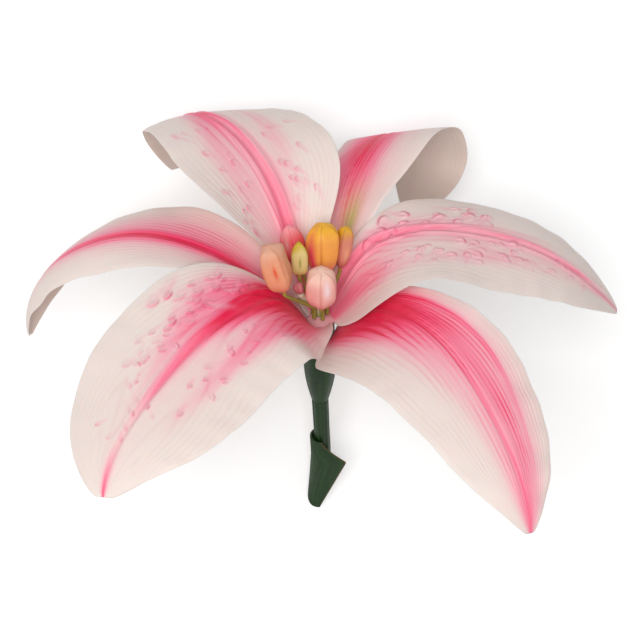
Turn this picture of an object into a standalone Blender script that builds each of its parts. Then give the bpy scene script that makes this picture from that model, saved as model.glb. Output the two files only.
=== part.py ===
"""A cut lily: one open bloom on a short stalk, lying on a surface.

The bloom is drawn upright in its own axes, with +Z along the flower's axis and the origin inside the
receptacle that carries it. An empty then leans it until it lies on the end of its stalk and on the two
tepals behind, with the lowest point at Z = 0. Metres and degrees, +Z up.
"""

import math
from dataclasses import dataclass

import bmesh
import bpy
import numpy as np
from mathutils import Euler, Matrix, Vector

MM = 0.001

# How the bloom lies: leaned back about X, then rolled about its own length.
LEAN = -51.1
ROLL = -10.4

# Tepals: three broad petals inside three narrower sepals.
TEPAL_THICKNESS = 0.9 * MM
TEPAL_ROWS = 30  # grid steps from base to tip
TEPAL_COLUMNS = 10  # grid steps from margin to margin
TIP_ROUNDNESS = 10  # a higher power keeps the tip blunt for longer
TIP_STOP = 0.995  # the blade ends just short of its point
SHOULDER = 0.1  # how far up the blade its rounded foot reaches
PETAL_SEAT = (4.2 * MM, 12.0 * MM)  # radius and height where a petal leaves the receptacle
SEPAL_SEAT = (5.4 * MM, 8.0 * MM)

# Receptacle and stalk, as radii and heights along the flower's axis.
RECEPTACLE_PROFILE = (
    (0.0, 14.4),
    (2.9, 14.2),
    (3.4, 13.2),
    (3.6, 11.0),
    (4.4, 8.0),
    (5.2, 4.0),
    (5.6, -4.0),
    (5.2, -13.0),
    (4.1, -18.0),
    (3.2, -23.0),
    (0.0, -23.0),
)
STALK_RADIUS = 2.8 * MM
STALK_ROUTE = ((0.0, 0.0, -23.4), (0.5, -0.2, -36.0), (1.0, 0.2, -50.0), (0.4, 0.4, -62.0), (-0.4, 0.0, -73.0))
GAP = 0.3 * MM

# Bract: the small leaf that wraps the cut end of the stalk.
BRACT_TOP = -41.0 * MM
BRACT_LENGTH = 33.0 * MM
BRACT_THICKNESS = 0.8 * MM
BRACT_WRAP = (100.0, 270.0)  # the arc of stalk that it covers, seen from above
BRACT_WING = 8.2 * MM  # how far its free edge stands out
BRACT_HOOK = 0.3  # where along the leaf it stands out most

# Stamens and pistil.
FILAMENT_RADIUS = 0.6 * MM
FILAMENT_SEAT = (2.5 * MM, 14.7 * MM)
OVARY_RADIUS = 1.6 * MM
OVARY_HEIGHT = 4.0 * MM
STYLE_RADIUS = 1.1 * MM
STIGMA_RADIUS = 2.1 * MM


@dataclass(frozen=True)
class Tepal:
    """One petal or sepal. Each row of numbers is spaced evenly from the base to the tip."""

    name: str
    colour: tuple[float, float, float]
    azimuth: float
    length: float  # millimetres along the midrib
    seat: tuple[float, float]
    slopes: tuple[float, ...]  # climb of the midrib, degrees
    turns: tuple[float, ...]  # sideways turn of the midrib, degrees
    left: tuple[float, ...]  # half-width on the anticlockwise side, millimetres
    right: tuple[float, ...]  # half-width on the clockwise side, millimetres
    cups: tuple[float, ...]  # how far the blade has bent upwards at its margin, degrees
    rolls: tuple[float, ...]  # tilt of the blade about its midrib, degrees
    claw: float = 0.3  # how wide the very foot is, as a share of the blade above it
    lap: float = 0.0  # how far the foot's left half also bends, to lap round the receptacle, degrees


PETAL_COLOUR = (0.86, 0.62, 0.62)
SEPAL_COLOUR = (0.84, 0.55, 0.57)

TEPALS = (
    Tepal(
        name="petal_right",
        colour=PETAL_COLOUR,
        azimuth=5,
        length=126,
        seat=PETAL_SEAT,
        slopes=(70, 41, 8, -8, -24, -46, -62),
        turns=(28, 20, 8, 0, -6, -10, -14),
        left=(4, 9, 17, 18, 14, 9, 4),
        right=(12, 24, 28, 29, 26, 20, 7),
        cups=(30, 26, 10, -12, -18, -18, -15),
        rolls=(0, 0, -2, -2, -2, -2, -2),
    ),
    Tepal(
        name="petal_upper_left",
        colour=PETAL_COLOUR,
        azimuth=126,
        length=124,
        seat=PETAL_SEAT,
        slopes=(60, 54, 42, 22, -18, -66, -86),
        turns=(0, 0, 0, 0, 2, 4, 4),
        left=(5, 9.5, 20, 24, 22, 15, 6),
        right=(5, 12, 27, 30, 27, 19, 6),
        cups=(56, 56, 40, 5, -10, -15, -10),
        rolls=(0, 0, 0, 4, 12, 14, 14),
    ),
    Tepal(
        name="petal_lower_left",
        colour=PETAL_COLOUR,
        azimuth=225,
        length=121,
        seat=PETAL_SEAT,
        slopes=(64, 44, 8, -10, -12, -16, -34),
        turns=(-18, -10, 2, 11, 16, 22, 38),
        left=(9.6, 29, 33, 32, 30, 24, 12),
        right=(1.2, 7, 18.5, 23, 24, 20, 10),
        cups=(30, 6, 10, 0, -6, -12, -10),
        rolls=(-6, -12, -12, -9, -5, 0, 0),
        claw=1.0,
        lap=80.0,
    ),
    Tepal(
        name="sepal_upper_right",
        colour=SEPAL_COLOUR,
        azimuth=67,
        length=128,
        seat=SEPAL_SEAT,
        slopes=(60, 48, 29, 8, -44, -92, -125),
        turns=(2, 2, 0, -4, -10, -16, -18),
        left=(6, 11, 17, 20, 19, 14, 4),
        right=(3, 4, 9.5, 18, 20, 18, 8),
        cups=(24, 24, 18, 0, 0, 0, 0),
        rolls=(8, 10, -4, -24, -22, -8, 0),
    ),
    Tepal(
        name="sepal_left",
        colour=SEPAL_COLOUR,
        azimuth=172,
        length=135,
        seat=SEPAL_SEAT,
        slopes=(60, 45, 24, -4, -34, -64, -92),
        turns=(0, 0, 0, 2, 6, 10, 10),
        left=(6, 9.5, 14, 17, 15, 11, 4),
        right=(6, 11, 16, 18, 18, 15, 5),
        cups=(50, 40, 16, -15, -35, -55, -60),
        rolls=(0, 0, 0, 4, 10, 22, 26),
    ),
    Tepal(
        name="sepal_lower_right",
        colour=SEPAL_COLOUR,
        azimuth=309,
        length=118,
        seat=SEPAL_SEAT,
        slopes=(58, 34, 6, -12, -22, -32, -60),
        turns=(16, 13, 6, -5, -11, -16, -22),
        left=(8, 12, 16, 19, 18, 14, 5),
        right=(17, 25, 27, 25, 21, 16, 6),
        cups=(14, 16, 12, 4, -8, -10, 0),
        rolls=(14, 18, 16, 10, 4, 0, 0),
    ),
)


@dataclass(frozen=True)
class Anther:
    """One plump pollen lobe, by the middle of its foot, its top and its thickest radius, in millimetres."""

    number: int
    colour: tuple[float, float, float]
    seat: float  # where its filament stands round the receptacle, degrees
    foot: tuple[float, float, float]
    top: tuple[float, float, float]
    radius: float


ANTHERS = (
    Anther(1, (0.93, 0.62, 0.50), 220, (-11.6, -7.3, 31.4), (-16.2, -6.3, 48.4), 4.4),
    Anther(2, (0.86, 0.30, 0.36), 118, (-7.2, 9.6, 29.5), (-10.4, 9.4, 44.5), 3.6),
    Anther(3, (0.86, 0.78, 0.42), 160, (-6.6, 1.6, 31.0), (-6.8, 1.6, 44.0), 2.5),
    Anther(4, (0.90, 0.60, 0.22), 70, (0.8, 4.6, 29.0), (0.8, 8.6, 46.0), 4.9),
    Anther(5, (0.85, 0.55, 0.45), 20, (6.6, 8.4, 28.0), (8.6, 9.6, 44.0), 2.4),
    Anther(6, (0.93, 0.64, 0.62), 290, (0.4, -6.4, 24.0), (0.4, -7.8, 40.0), 4.8),
)

STYLE_ROUTE = ((-0.2, 0.0, 19.3), (-0.9, -0.2, 20.4), (-3.0, -1.2, 22.2), (-5.4, -2.2, 24.4), (-6.4, -2.8, 26.2))
STIGMA_CENTRE = (-6.8, -3.0, 28.8)


def along(stations, t):
    """The value at each t, from 0 to 1, on the smooth curve through evenly spaced stations."""
    y = np.asarray(stations, float)
    last = len(y) - 1
    place = np.clip(t, 0, 1) * last
    i = np.minimum(place.astype(int), last - 1)
    f = place - i
    before = np.where(i > 0, y[np.maximum(i - 1, 0)], 2 * y[i] - y[i + 1])
    after = np.where(i < last - 1, y[np.minimum(i + 2, last)], 2 * y[i + 1] - y[i])
    rise_in, rise_out = (y[i + 1] - before) / 2, (after - y[i]) / 2
    return (
        (2 * f**3 - 3 * f**2 + 1) * y[i]
        + (f**3 - 2 * f**2 + f) * rise_in
        + (3 * f**2 - 2 * f**3) * y[i + 1]
        + (f**3 - f**2) * rise_out
    )


def midrib(tepal, steps=400):
    """Points and directions along a tepal's midrib, found by walking it in equal steps."""
    t = np.linspace(0, 1, steps + 1)
    slope = np.radians(along(tepal.slopes, t))
    heading = np.radians(tepal.azimuth + along(tepal.turns, t))
    direction = np.stack([np.cos(slope) * np.cos(heading), np.cos(slope) * np.sin(heading), np.sin(slope)], 1)
    step = tepal.length * MM / steps
    walked = np.cumsum((direction[1:] + direction[:-1]) / 2 * step, 0)
    radius, height = tepal.seat
    start = np.array([radius * math.cos(heading[0]), radius * math.sin(heading[0]), height])
    return t, start + np.concatenate([np.zeros((1, 3)), walked]), direction, heading


def blade_points(tepal, t, side):
    """Where the blade's middle surface lies at t along it and at side, from -1 to 1 across it."""
    steps, points, directions, headings = midrib(tepal)
    point, direction = (np.stack([np.interp(t, steps, row) for row in rows.T], 1) for rows in (points, directions))
    heading = np.interp(t, steps, headings)
    across = np.stack([-np.sin(heading), np.cos(heading), np.zeros_like(heading)], 1)
    normal = np.cross(direction, across)
    width = np.where(side > 0, along(tepal.left, t), along(tepal.right, t)) * MM
    width *= np.sqrt(1 - t**TIP_ROUNDNESS)
    up = np.minimum(t / SHOULDER, 1)
    width *= tepal.claw + (1 - tepal.claw) * np.sqrt(1 - (1 - up) ** 2)
    bend = np.radians(along(tepal.cups, t) + np.where(side > 0, tepal.lap * (1 - up) ** 2, 0))
    bend = np.where(np.abs(bend) < 0.0001, 0.0001, bend)
    flat, lift = width * np.sin(bend * side) / bend, width * (1 - np.cos(bend * side)) / bend
    roll = np.radians(along(tepal.rolls, t))
    outward = flat * np.cos(roll) - lift * np.sin(roll)
    upward = flat * np.sin(roll) + lift * np.cos(roll)
    return point + across * outward[:, None] + normal * upward[:, None]


def material(name, colour, roughness):
    """A plain Principled material."""
    made = bpy.data.materials.new(name)
    made.use_nodes = True
    shader = made.node_tree.nodes["Principled BSDF"]
    shader.inputs["Base Color"].default_value = (*colour, 1)
    shader.inputs["Roughness"].default_value = roughness
    shader.inputs["Metallic"].default_value = 0
    return made


def add_object(name, data, colour, roughness=0.6):
    """A new object in the lily's collection, hung from its axis, with its own material."""
    made = bpy.data.objects.new(name, data)
    data.materials.append(material(name, colour, roughness))
    bpy.data.collections["cut_lily"].objects.link(made)
    made.parent = bpy.data.objects["bloom_axis"]
    return made


def mesh_of(name, shape):
    """The mesh of a bmesh shape, shaded smooth."""
    mesh = bpy.data.meshes.new(name)
    bmesh.ops.recalc_face_normals(shape, faces=shape.faces)
    shape.to_mesh(mesh)
    shape.free()
    mesh.shade_smooth()
    return mesh


def sheet(name, rows, columns, place):
    """A grid of faces whose points place(t, side) moves to where they belong."""
    shape = bmesh.new()
    bmesh.ops.create_grid(shape, x_segments=columns, y_segments=rows, size=1)
    flat = np.array([vertex.co for vertex in shape.verts])
    for vertex, point in zip(shape.verts, place((flat[:, 1] + 1) / 2, flat[:, 0])):
        vertex.co = point
    return mesh_of(name, shape)


def thicken(made, thickness):
    """Turns an open sheet into a closed blade, half of it on each side."""
    solid = made.modifiers.new("thickness", "SOLIDIFY")
    solid.thickness = thickness
    solid.offset = 0
    solid.use_even_offset = False


def add_tepal(tepal):
    """A petal or sepal."""

    def place(t, side):
        return blade_points(tepal, t * TIP_STOP, side)

    blade = add_object(tepal.name, sheet(tepal.name, TEPAL_ROWS, TEPAL_COLUMNS, place), tepal.colour)
    thicken(blade, TEPAL_THICKNESS)


def add_tube(name, route, radius, colour, resolution=2, taper=()):
    """A stalk, filament or style: a tube with filled caps along a route in millimetres."""
    points = np.array(route, float) * MM
    count = 2 * len(points) + 1
    t = np.linspace(0, 1, count)
    smooth = np.stack([along(points[:, axis], t) for axis in range(3)], 1)
    curve = bpy.data.curves.new(name, "CURVE")
    curve.dimensions = "3D"
    curve.bevel_depth = radius
    curve.bevel_resolution = resolution
    curve.use_fill_caps = True
    spline = curve.splines.new("POLY")
    spline.points.add(count - 1)
    spline.points.foreach_set("co", np.column_stack([smooth, np.ones(count)]).ravel())
    spline.points.foreach_set("radius", along(taper, t) if taper else np.ones(count))
    return add_object(name, curve, colour)


def add_turned(name, profile, colour, steps=24):
    """A round piece, turned from (radius, height) points that run from its top to its bottom, in millimetres."""
    mesh = bpy.data.meshes.new(name)
    outline = [(radius * MM, 0, height * MM) for radius, height in profile]
    mesh.from_pydata(outline, [(i, i + 1) for i in range(len(outline) - 1)], [])
    made = add_object(name, mesh, colour)
    screw = made.modifiers.new("turn", "SCREW")
    screw.steps = screw.render_steps = steps
    screw.use_merge_vertices = True
    screw.merge_threshold = 0.00001
    screw.use_smooth_shade = True
    return made


def lobe(name, foot, top, radius, grooves, depth):
    """A plump closed lobe from foot to top, pinched at the foot and grooved lengthways."""
    foot, top = Vector(foot) * MM, Vector(top) * MM
    half = (top - foot).length / 2
    shape = bmesh.new()
    bmesh.ops.create_uvsphere(shape, u_segments=18, v_segments=10, radius=1)
    for vertex in shape.verts:
        x, y, z = vertex.co
        angle = math.atan2(y, x)
        girth = (1 - depth * math.cos(grooves * angle) ** 8) * (1 - 0.16 * z)
        vertex.co = (x * girth * radius * MM, y * girth * radius * MM, z * half)
    turn = (top - foot).to_track_quat("Z", "Y").to_matrix().to_4x4()
    bmesh.ops.transform(shape, matrix=Matrix.Translation((foot + top) / 2) @ turn, verts=shape.verts)
    return mesh_of(name, shape)


def add_stamen(anther):
    """An anther and the filament that carries it from the receptacle."""
    add_object(
        f"anther_{anther.number}",
        lobe(f"anther_{anther.number}", anther.foot, anther.top, anther.radius, grooves=1, depth=0.18),
        anther.colour,
    )
    foot, top = np.array(anther.foot), np.array(anther.top)
    around = math.radians(anther.seat)
    radius, height = (value / MM for value in FILAMENT_SEAT)
    seat = np.array([radius * math.cos(around), radius * math.sin(around), height])
    up = (top - foot) / np.linalg.norm(top - foot)
    end = foot - up * GAP / MM
    route = (seat, seat * (1.1, 1.1, 1.3), (seat + end) / 2 + (0, 0, 1.5), end - up * 2, end)
    add_tube(f"filament_{anther.number}", route, FILAMENT_RADIUS, (0.55, 0.55, 0.30))


def add_pistil():
    """The ovary on the receptacle, the style that leans out of it, and the three-lobed stigma."""
    top = RECEPTACLE_PROFILE[0][1] + GAP / MM
    radius, height = OVARY_RADIUS / MM, OVARY_HEIGHT / MM
    profile = [(0, top + height)]
    profile += [(radius * w, top + height * h) for w, h in ((0.6, 1), (0.85, 0.9), (1, 0.6), (1, 0.3), (0.8, 0))]
    profile += [(0, top)]
    add_turned("ovary", profile, (0.62, 0.70, 0.45), steps=12)
    add_tube("style", STYLE_ROUTE, STYLE_RADIUS, (0.88, 0.80, 0.70), taper=(0.9, 1, 1.1))
    foot = np.array(STIGMA_CENTRE) - (0, 0, STIGMA_RADIUS / MM)
    top = np.array(STIGMA_CENTRE) + (0, 0, STIGMA_RADIUS / MM)
    add_object("stigma", lobe("stigma", foot, top, STIGMA_RADIUS / MM, grooves=1.5, depth=0.25), (0.85, 0.5, 0.5))


def stalk_centre(height):
    """Where the middle of the stalk is at each height."""
    x, y, z = np.array(STALK_ROUTE).T * MM
    return np.interp(-height, -z, x), np.interp(-height, -z, y)


def bract_points(t, side):
    """The leaf's middle surface, t down the stalk and side around it: a wrap that runs on into a free wing."""
    radius = STALK_RADIUS + 2 * GAP + BRACT_THICKNESS / 2
    start, end = (math.radians(angle) for angle in BRACT_WRAP)
    wing = BRACT_WING * np.minimum(t / BRACT_HOOK, 1) ** 1.4 * np.minimum((1.03 - t) / (1 - BRACT_HOOK), 1)
    reach = radius * (end - start) * np.sqrt(1 - 0.98 * t**4)
    length = (side + 1) / 2 * (reach + wing) - reach
    angle = end + np.minimum(length, 0) / radius
    free = np.maximum(length, 0)
    height = BRACT_TOP - t * BRACT_LENGTH
    middle_x, middle_y = stalk_centre(height)
    x = middle_x + radius * np.cos(angle) - free * np.sin(angle)
    y = middle_y + radius * np.sin(angle) + free * np.cos(angle)
    return np.stack([x, y, height], 1)


def clear_scene():
    """Removes every object of the scene that the script starts in."""
    for old in list(bpy.data.objects):
        bpy.data.objects.remove(old, do_unlink=True)


def lay_down(axis):
    """Leans the bloom, then moves it so that its box stands on the origin by the middle of its bottom."""
    axis.rotation_euler = Euler((math.radians(LEAN), math.radians(ROLL), 0))
    bpy.context.view_layer.update()
    graph = bpy.context.evaluated_depsgraph_get()
    corners = []
    for piece in axis.children:
        mesh = piece.evaluated_get(graph).to_mesh()
        corners += [piece.matrix_world @ vertex.co for vertex in mesh.vertices]
    low, high = np.min(corners, 0), np.max(corners, 0)
    axis.location = (-(low[0] + high[0]) / 2, -(low[1] + high[1]) / 2, -low[2])


def main():
    clear_scene()
    bpy.context.scene.collection.children.link(bpy.data.collections.new("cut_lily"))
    axis = bpy.data.objects.new("bloom_axis", None)
    bpy.data.collections["cut_lily"].objects.link(axis)
    for tepal in TEPALS:
        add_tepal(tepal)
    add_turned("receptacle", RECEPTACLE_PROFILE, (0.16, 0.26, 0.10))
    for anther in ANTHERS:
        add_stamen(anther)
    add_pistil()
    add_tube("stalk", STALK_ROUTE, STALK_RADIUS, (0.10, 0.20, 0.07), resolution=3, taper=(1.05, 1, 1, 0.95))
    bract = add_object("bract", sheet("bract", 12, 14, bract_points), (0.11, 0.22, 0.08))
    thicken(bract, BRACT_THICKNESS)
    lay_down(axis)


main()
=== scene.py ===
"""The looks of a cut lily: one open bloom on a short stalk, lying on a pale surface.

Every piece is drawn upright in the bloom's own axes, with +Z along the flower and the origin inside the
receptacle, and is then leaned over onto its place in the frame. Metres, with sizes written in millimetres.
"""

from __future__ import annotations

import logging
import math
from dataclasses import dataclass, field
from enum import Enum
from typing import Callable

import bpy
import numpy as np
from mathutils import Euler, Matrix, Vector


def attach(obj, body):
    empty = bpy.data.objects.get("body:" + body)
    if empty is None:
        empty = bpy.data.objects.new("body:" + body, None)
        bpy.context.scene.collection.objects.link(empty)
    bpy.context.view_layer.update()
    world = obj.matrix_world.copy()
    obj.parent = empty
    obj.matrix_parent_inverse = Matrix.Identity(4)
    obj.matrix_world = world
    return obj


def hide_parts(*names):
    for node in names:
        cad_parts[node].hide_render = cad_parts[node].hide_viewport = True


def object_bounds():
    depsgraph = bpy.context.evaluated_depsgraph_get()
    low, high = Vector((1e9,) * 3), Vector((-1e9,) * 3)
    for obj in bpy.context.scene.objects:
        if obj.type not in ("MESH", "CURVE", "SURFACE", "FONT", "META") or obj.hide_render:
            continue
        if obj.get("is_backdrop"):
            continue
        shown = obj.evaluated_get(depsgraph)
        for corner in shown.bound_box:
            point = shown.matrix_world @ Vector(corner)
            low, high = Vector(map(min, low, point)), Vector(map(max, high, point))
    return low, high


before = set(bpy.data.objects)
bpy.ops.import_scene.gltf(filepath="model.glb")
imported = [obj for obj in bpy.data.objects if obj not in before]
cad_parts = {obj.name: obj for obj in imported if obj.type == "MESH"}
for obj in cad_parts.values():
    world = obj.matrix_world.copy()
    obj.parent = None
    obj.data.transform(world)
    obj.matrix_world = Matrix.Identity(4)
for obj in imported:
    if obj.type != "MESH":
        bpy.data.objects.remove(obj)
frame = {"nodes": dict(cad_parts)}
CAD_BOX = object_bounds()

LOG = logging.getLogger("cut_lily")

MM = 0.001
BODY = "root"

# How the bloom lies: leaned back about X, then rolled about its own length.
LEAN = -51.1
ROLL = -10.4

RECEPTACLE_TOP = 14.4 * MM

Colour = tuple[float, float, float]
Socket = bpy.types.NodeSocket


def paint(red: float, green: float, blue: float) -> Colour:
    """A colour as a painter reads it, each part from 0 to 255, in the linear values a shader takes."""
    parts = (value / 255 for value in (red, green, blue))
    return tuple(part / 12.92 if part <= 0.04045 else ((part + 0.055) / 1.055) ** 2.4 for part in parts)


def along(stations: tuple[float, ...], t: np.ndarray) -> np.ndarray:
    """Reads the smooth curve that runs through evenly spaced stations.

    Args:
        stations: values at even steps from the start to the end.
        t: places along the curve, from 0 to 1.

    Returns:
        The curve's value at each t.
    """
    y = np.asarray(stations, float)
    last = len(y) - 1
    place = np.clip(t, 0, 1) * last
    i = np.minimum(place.astype(int), last - 1)
    f = place - i
    before = np.where(i > 0, y[np.maximum(i - 1, 0)], 2 * y[i] - y[i + 1])
    after = np.where(i < last - 1, y[np.minimum(i + 2, last)], 2 * y[i + 1] - y[i])
    rise_in, rise_out = (y[i + 1] - before) / 2, (after - y[i]) / 2
    return (
        (2 * f**3 - 3 * f**2 + 1) * y[i]
        + (f**3 - 2 * f**2 + f) * rise_in
        + (3 * f**2 - 2 * f**3) * y[i + 1]
        + (f**3 - f**2) * rise_out
    )


def hump(x: np.ndarray, width: float | np.ndarray) -> np.ndarray:
    """A smooth bump of height 1 at x = 0 that has faded away two widths off."""
    return np.exp(-((x / width) ** 2))


def ease(x: np.ndarray, low: float, high: float) -> np.ndarray:
    """Climbs smoothly from 0 at low to 1 at high."""
    f = np.clip((x - low) / (high - low), 0, 1)
    return f * f * (3 - 2 * f)


def wander(seed: int, t: np.ndarray, side: np.ndarray, waves: int = 5) -> np.ndarray:
    """A slow, smooth unevenness over a blade, the same each run.

    Args:
        seed: which unevenness.
        t: places along the blade.
        side: places across it.
        waves: how many slanting waves are added up.

    Returns:
        Numbers that mostly lie from -1 to 1.
    """
    draw = np.random.default_rng(seed)
    total = np.zeros(np.broadcast(t, side).shape)
    for wave in range(waves):
        pitch_along, pitch_across = draw.uniform(1, 3 + 2 * wave), draw.uniform(-1.5, 1.5) * (1 + wave / 2)
        turns = pitch_along * t + pitch_across * side + draw.uniform()
        total += np.sin(2 * math.pi * turns) / (1 + wave / 2)
    return total / 2


class BloomAxes:
    """The bloom's own axes, found from where the frame holds its receptacle."""

    def __init__(self, nodes: dict[str, bpy.types.Object]) -> None:
        """Reads the lean from the sizes above and the place from the receptacle's solid.

        Args:
            nodes: the frame's solids by name.
        """
        self.turn = np.array(Euler((math.radians(LEAN), math.radians(ROLL), 0)).to_matrix())
        points = np.array([vertex.co for vertex in nodes["receptacle"].data.vertices])
        upright = points @ self.turn
        low, high = upright.min(0), upright.max(0)
        middle = np.array([(low[0] + high[0]) / 2, (low[1] + high[1]) / 2, high[2] - RECEPTACLE_TOP])
        self.place = self.turn @ middle

    def world(self, points: np.ndarray) -> np.ndarray:
        """Points of the upright bloom, moved to where the frame holds them."""
        return points @ self.turn.T + self.place

    def direction(self, across: float, forward: float, up: float) -> Vector:
        """A direction given in the bloom's axes, in the frame's."""
        return Vector(self.turn @ np.array([across, forward, up]))


class Graph:
    """A material's nodes, with short calls that add and join them."""

    def __init__(self, name: str) -> None:
        """Starts a material that holds one Principled shader.

        Args:
            name: the material's name.
        """
        self.material = bpy.data.materials.new(name)
        self.material.use_nodes = True
        self.tree = self.material.node_tree
        self.shader = self.tree.nodes["Principled BSDF"]

    def add(self, kind: str, **settings: object) -> bpy.types.Node:
        """A new node of this kind, with its settings."""
        node = self.tree.nodes.new(kind)
        for name, value in settings.items():
            setattr(node, name, value)
        return node

    def feed(self, target: Socket, value: Socket | float | Colour) -> None:
        """Joins a socket to an input, or writes a number or colour on it.

        Args:
            target: the input.
            value: what goes in.
        """
        if isinstance(value, bpy.types.NodeSocket):
            self.tree.links.new(value, target)
        elif isinstance(value, tuple) and len(target.default_value) == 4:
            target.default_value = (*value, 1)
        else:
            target.default_value = value

    def reading(self, name: str) -> Socket:
        """One of the numbers that a piece's points carry."""
        return self.add("ShaderNodeAttribute", attribute_name=name).outputs["Fac"]

    def blade_place(self, scale: tuple[float, float, float]) -> Socket:
        """Where a point lies across and along its blade, stretched by scale."""
        mapping = self.add("ShaderNodeMapping")
        self.feed(mapping.inputs["Vector"], self.add("ShaderNodeUVMap", uv_map="blade").outputs["UV"])
        self.feed(mapping.inputs["Scale"], scale)
        return mapping.outputs["Vector"]

    def solid_place(self) -> Socket:
        """Where a point lies in the frame."""
        return self.add("ShaderNodeTexCoord").outputs["Object"]

    def noise(self, place: Socket, scale: float, detail: float = 3, roughness: float = 0.55) -> Socket:
        """Cloudy values from 0 to 1.

        Args:
            place: the point that is read.
            scale: how fine the clouds are.
            detail: how many finer layers are added.
            roughness: how strong those layers are.

        Returns:
            The values.
        """
        node = self.add("ShaderNodeTexNoise")
        self.feed(node.inputs["Vector"], place)
        self.feed(node.inputs["Scale"], scale)
        self.feed(node.inputs["Detail"], detail)
        self.feed(node.inputs["Roughness"], roughness)
        return node.outputs["Fac"]

    def sum(self, operation: str, *values: Socket | float, clamp: bool = False) -> Socket:
        """The result of a Math node.

        Args:
            operation: its name in Blender.
            values: what it works on.
            clamp: whether the result is kept from 0 to 1.

        Returns:
            The result.
        """
        node = self.add("ShaderNodeMath", operation=operation, use_clamp=clamp)
        for target, value in zip(node.inputs, values):
            self.feed(target, value)
        return node.outputs[0]

    def spread(self, value: Socket, low: float, high: float) -> Socket:
        """Values from 0 to 1, stretched to run from low to high."""
        return self.sum("MULTIPLY_ADD", value, high - low, low)

    def mix(
        self, share: Socket | float, first: Socket | Colour, second: Socket | Colour, blend: str = "MIX"
    ) -> Socket:
        """Two colours mixed.

        Args:
            share: how much of the second.
            first: the colour underneath.
            second: the colour on top.
            blend: how they mix.

        Returns:
            The mixed colour.
        """
        node = self.add("ShaderNodeMix", data_type="RGBA", blend_type=blend)
        self.feed(node.inputs[0], share)
        self.feed(node.inputs[6], first)
        self.feed(node.inputs[7], second)
        return node.outputs[2]

    def ramp(self, value: Socket, stops: tuple[tuple[float, Colour], ...]) -> Socket:
        """The colour at a value on a ramp of (place, colour) stops."""
        node = self.add("ShaderNodeValToRGB")
        self.feed(node.inputs["Fac"], value)
        elements = node.color_ramp.elements
        for place, colour in stops[1:-1]:
            elements.new(place).color = (*colour, 1)
        elements[0].position, elements[-1].position = stops[0][0], stops[-1][0]
        elements[0].color, elements[-1].color = (*stops[0][1], 1), (*stops[-1][1], 1)
        return node.outputs["Color"]

    def bump(self, height: Socket, distance: float, strength: float = 1.0) -> None:
        """Gives the shader a fine relief of this height."""
        node = self.add("ShaderNodeBump")
        self.feed(node.inputs["Height"], height)
        self.feed(node.inputs["Distance"], distance)
        self.feed(node.inputs["Strength"], strength)
        self.feed(self.shader.inputs["Normal"], node.outputs["Normal"])

    def finish(self, colour: Socket, roughness: Socket | float, **constants: float) -> bpy.types.Material:
        """Joins the shader's colour and roughness and writes its constants.

        Args:
            colour: the surface's colour.
            roughness: its roughness.
            constants: shader inputs by name, with _ for a space.

        Returns:
            The material.
        """
        self.feed(self.shader.inputs["Base Color"], colour)
        self.feed(self.shader.inputs["Roughness"], roughness)
        for name, value in constants.items():
            self.shader.inputs[name.replace("_", " ").title().replace("Ior", "IOR")].default_value = value
        return self.material


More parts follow.
